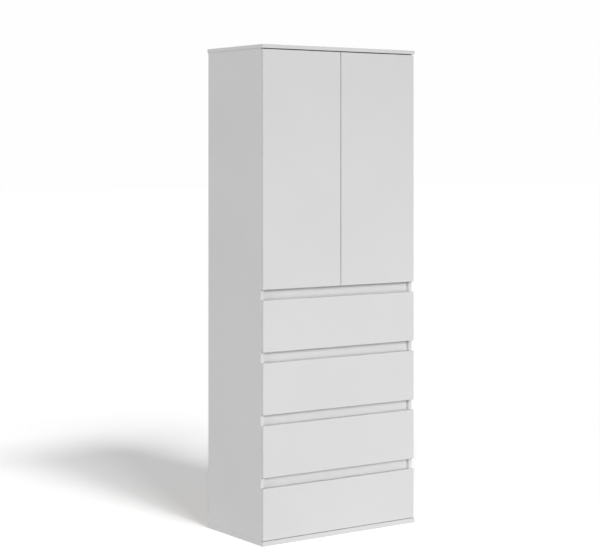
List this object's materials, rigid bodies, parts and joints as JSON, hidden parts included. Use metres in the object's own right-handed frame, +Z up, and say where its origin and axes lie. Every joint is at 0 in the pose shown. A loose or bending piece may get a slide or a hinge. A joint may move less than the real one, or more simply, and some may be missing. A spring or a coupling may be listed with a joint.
{
  "type": "wardrobe",
  "caption": "Tall white wardrobe in two halves: hinged doors over a hanging space with a hat shelf, above wide drawers pulled by finger gaps between their fronts.",
  "frame": {"origin": "on the floor in the middle of the base board", "axes": "+Z up; the doors and drawers face -Y; +X to the right of someone who faces them"},
  "size_m": [0.8, 0.432, 2.069],
  "materials": {
    "white_laminate": "matt white melamine on chipboard, edges banded in the same white",
    "drawer_board": "white foil on thin chipboard",
    "white_hardboard": "thin hardboard, painted white on the side that faces in",
    "nickel_plated_steel": "nickel-plated pressed steel",
    "zinc_plated_steel": "bright zinc-plated rolled steel",
    "cast_zinc": "die-cast zinc and plated steel fittings",
    "beech": "bare beech with a fluted surface",
    "bumper_rubber": "clear soft rubber of the stick-on bumpers"
  },
  "bodies": {
    "carcass": {"top_board": "white_laminate", "base_board": "white_laminate", "upper_side_left": "white_laminate", "upper_side_right": "white_laminate", "lower_side_left": "white_laminate", "lower_side_right": "white_laminate", "upper_floor": "white_laminate", "upper_back": "white_hardboard", "lower_back": "white_hardboard", "hat_shelf": "white_laminate", "front_rail_1": "white_laminate", "front_rail_2": "white_laminate", "front_rail_3": "white_laminate", "front_rail_4": "white_laminate", "shelf_pins": "nickel_plated_steel", "clothes_rail": "nickel_plated_steel", "rail_brackets": "nickel_plated_steel", "wall_brackets": "nickel_plated_steel", "cam_locks": "cast_zinc", "cam_bolts": "cast_zinc", "dowels": "beech", "hinge_plates": "nickel_plated_steel", "hinge_arms": "nickel_plated_steel", "runner_outer_rails": "zinc_plated_steel"},
    "left_outer_links": {"left_outer_links": "nickel_plated_steel"},
    "left_inner_links": {"left_inner_links": "nickel_plated_steel"},
    "left_door": {"left_door": "white_laminate", "left_hinge_cups": "nickel_plated_steel"},
    "right_outer_links": {"right_outer_links": "nickel_plated_steel"},
    "right_inner_links": {"right_inner_links": "nickel_plated_steel"},
    "right_door": {"right_door": "white_laminate", "right_hinge_cups": "nickel_plated_steel"},
    "drawer_1": {"drawer_1_front": "white_laminate", "drawer_1_left_side": "drawer_board", "drawer_1_right_side": "drawer_board", "drawer_1_back": "drawer_board", "drawer_1_bottom": "white_hardboard", "drawer_1_inner_rails": "zinc_plated_steel"},
    "drawer_1_slides": {"drawer_1_middle_rails": "zinc_plated_steel"},
    "drawer_2": {"drawer_2_front": "white_laminate", "drawer_2_left_side": "drawer_board", "drawer_2_right_side": "drawer_board", "drawer_2_back": "drawer_board", "drawer_2_bottom": "white_hardboard", "drawer_2_inner_rails": "zinc_plated_steel"},
    "drawer_2_slides": {"drawer_2_middle_rails": "zinc_plated_steel"},
    "drawer_3": {"drawer_3_front": "white_laminate", "drawer_3_left_side": "drawer_board", "drawer_3_right_side": "drawer_board", "drawer_3_back": "drawer_board", "drawer_3_bottom": "white_hardboard", "drawer_3_inner_rails": "zinc_plated_steel"},
    "drawer_3_slides": {"drawer_3_middle_rails": "zinc_plated_steel"},
    "drawer_4": {"drawer_4_front": "white_laminate", "drawer_4_left_side": "drawer_board", "drawer_4_right_side": "drawer_board", "drawer_4_back": "drawer_board", "drawer_4_bottom": "white_hardboard", "drawer_4_inner_rails": "zinc_plated_steel"},
    "drawer_4_slides": {"drawer_4_middle_rails": "zinc_plated_steel"}
  },
  "joints": [
    {"name": "left_outer_link_turn", "type": "hinge", "parent": "carcass", "child": "left_outer_links", "pos_m": [-0.364, -0.192, 1.55275], "axis": [0, 0, -1], "range_deg": [-50, 0]},
    {"name": "left_door_swing", "type": "hinge", "parent": "left_outer_links", "child": "left_door", "pos_m": [-0.3852, -0.2001, 1.55275], "axis": [0, 0, -1], "range_deg": [0, 154]},
    {"name": "left_inner_link_turn", "type": "hinge", "parent": "carcass", "child": "left_inner_links", "pos_m": [-0.3636, -0.2041, 1.55275], "axis": [0, 0, -1], "range_deg": [-57, 0]},
    {"name": "right_outer_link_turn", "type": "hinge", "parent": "carcass", "child": "right_outer_links", "pos_m": [0.364, -0.192, 1.55275], "axis": [0, 0, 1], "range_deg": [-50, 0]},
    {"name": "right_door_swing", "type": "hinge", "parent": "right_outer_links", "child": "right_door", "pos_m": [0.3852, -0.2001, 1.55275], "axis": [0, 0, 1], "range_deg": [0, 154]},
    {"name": "right_inner_link_turn", "type": "hinge", "parent": "carcass", "child": "right_inner_links", "pos_m": [0.3636, -0.2041, 1.55275], "axis": [0, 0, 1], "range_deg": [-57, 0]},
    {"name": "drawer_1_pull", "type": "slide", "parent": "carcass", "child": "drawer_1", "axis": [0, -1, 0], "range_m": [0, 0.34]},
    {"name": "drawer_1_slide_pull", "type": "slide", "parent": "carcass", "child": "drawer_1_slides", "axis": [0, -1, 0], "range_m": [0, 0.17]},
    {"name": "drawer_2_pull", "type": "slide", "parent": "carcass", "child": "drawer_2", "axis": [0, -1, 0], "range_m": [0, 0.34]},
    {"name": "drawer_2_slide_pull", "type": "slide", "parent": "carcass", "child": "drawer_2_slides", "axis": [0, -1, 0], "range_m": [0, 0.17]},
    {"name": "drawer_3_pull", "type": "slide", "parent": "carcass", "child": "drawer_3", "axis": [0, -1, 0], "range_m": [0, 0.34]},
    {"name": "drawer_3_slide_pull", "type": "slide", "parent": "carcass", "child": "drawer_3_slides", "axis": [0, -1, 0], "range_m": [0, 0.17]},
    {"name": "drawer_4_pull", "type": "slide", "parent": "carcass", "child": "drawer_4", "axis": [0, -1, 0], "range_m": [0, 0.34]},
    {"name": "drawer_4_slide_pull", "type": "slide", "parent": "carcass", "child": "drawer_4_slides", "axis": [0, -1, 0], "range_m": [0, 0.17]}
  ],
  "couplings": [
    {"joint": "left_outer_link_turn", "follows": "left_door_swing", "ratio": -0.32},
    {"joint": "left_inner_link_turn", "follows": "left_door_swing", "ratio": -0.367},
    {"joint": "right_outer_link_turn", "follows": "right_door_swing", "ratio": -0.32},
    {"joint": "right_inner_link_turn", "follows": "right_door_swing", "ratio": -0.367},
    {"joint": "drawer_1_slide_pull", "follows": "drawer_1_pull", "ratio": 0.5},
    {"joint": "drawer_2_slide_pull", "follows": "drawer_2_pull", "ratio": 0.5},
    {"joint": "drawer_3_slide_pull", "follows": "drawer_3_pull", "ratio": 0.5},
    {"joint": "drawer_4_slide_pull", "follows": "drawer_4_pull", "ratio": 0.5}
  ]
}
